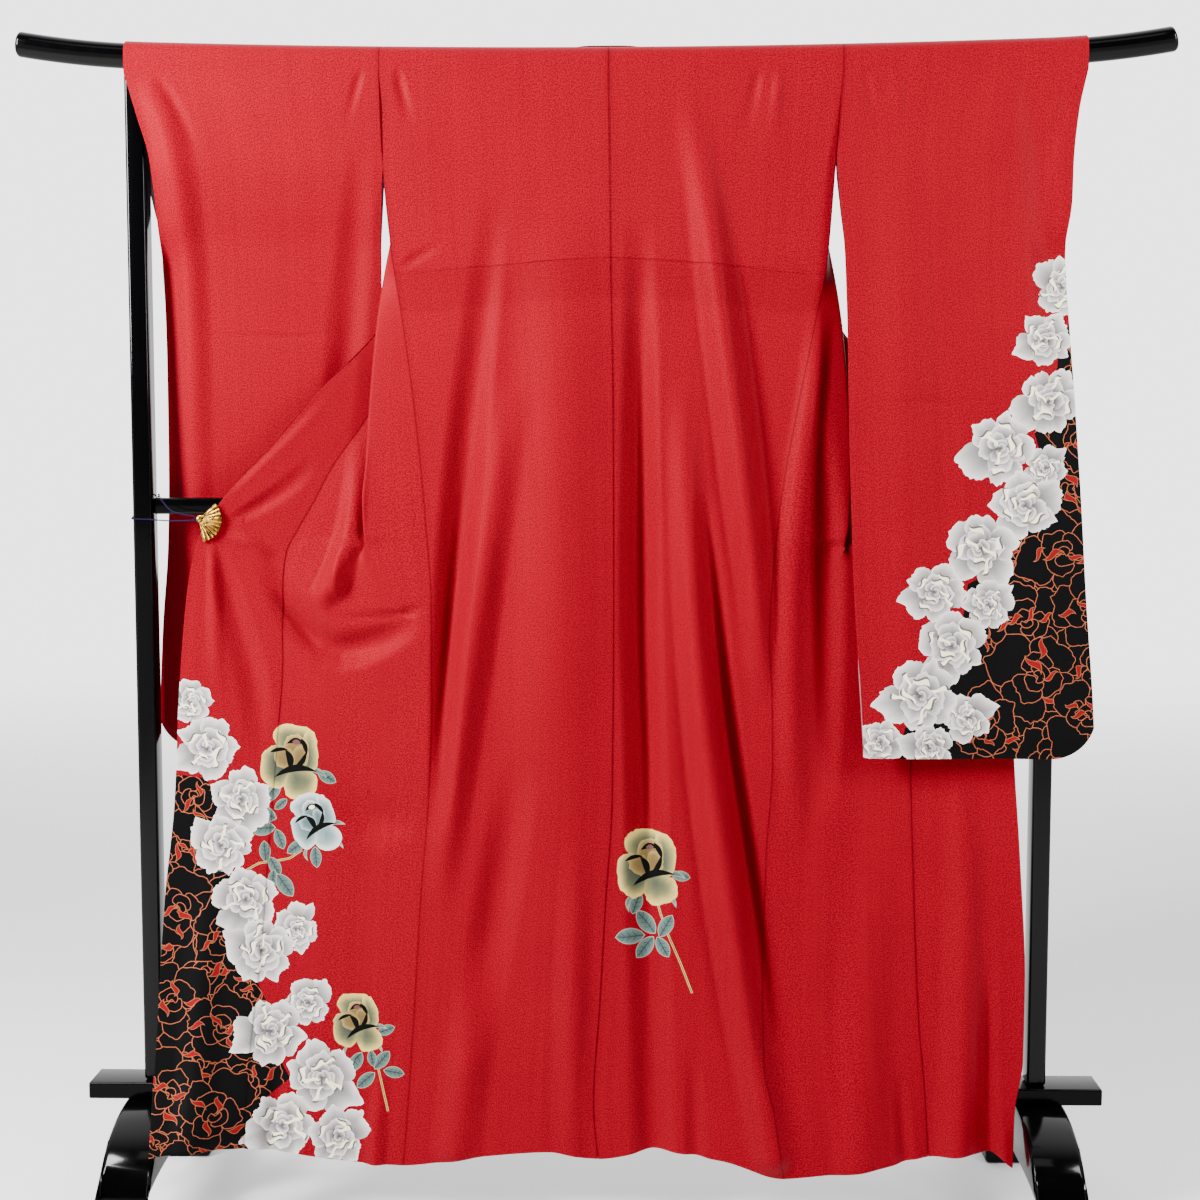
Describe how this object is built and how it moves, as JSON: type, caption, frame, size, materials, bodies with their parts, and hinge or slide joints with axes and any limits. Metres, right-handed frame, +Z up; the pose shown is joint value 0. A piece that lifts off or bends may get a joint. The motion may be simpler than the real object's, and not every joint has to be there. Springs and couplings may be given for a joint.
{
  "type": "furisode on a kimono stand",
  "caption": "Long-sleeved formal robe hung over the rod of a floor stand, seen from behind, with each front edge drawn out to the side by a small fan-shaped clip tied to a post.",
  "frame": {"origin": "on the floor under the middle of the stand", "axes": "the robe's back faces -Y, +X is to the viewer's right, +Z is up"},
  "size_m": [1.6034, 0.49, 1.6796],
  "materials": {
    "red_satin": "printed red silk satin with a soft sheen",
    "black_lacquer": "gloss black lacquer",
    "gilt_brass": "bright gilt",
    "purple_thread": "fine twisted thread"
  },
  "bodies": {
    "root": {"back_left": "red_satin", "back_right": "red_satin", "clip_left_fan": "gilt_brass", "clip_left_spring": "gilt_brass", "clip_right_fan": "gilt_brass", "clip_right_spring": "gilt_brass", "collar": "red_satin", "crossbar": "black_lacquer", "foot_left": "black_lacquer", "foot_right": "black_lacquer", "front_left": "red_satin", "front_right": "red_satin", "okumi_left": "red_satin", "okumi_right": "red_satin", "plank": "black_lacquer", "post_left": "black_lacquer", "post_right": "black_lacquer", "rod": "black_lacquer", "sleeve_left_back": "red_satin", "sleeve_left_front": "red_satin", "sleeve_right_back": "red_satin", "sleeve_right_front": "red_satin", "thread_left": "purple_thread", "thread_right": "purple_thread"}
  },
  "joints": []
}
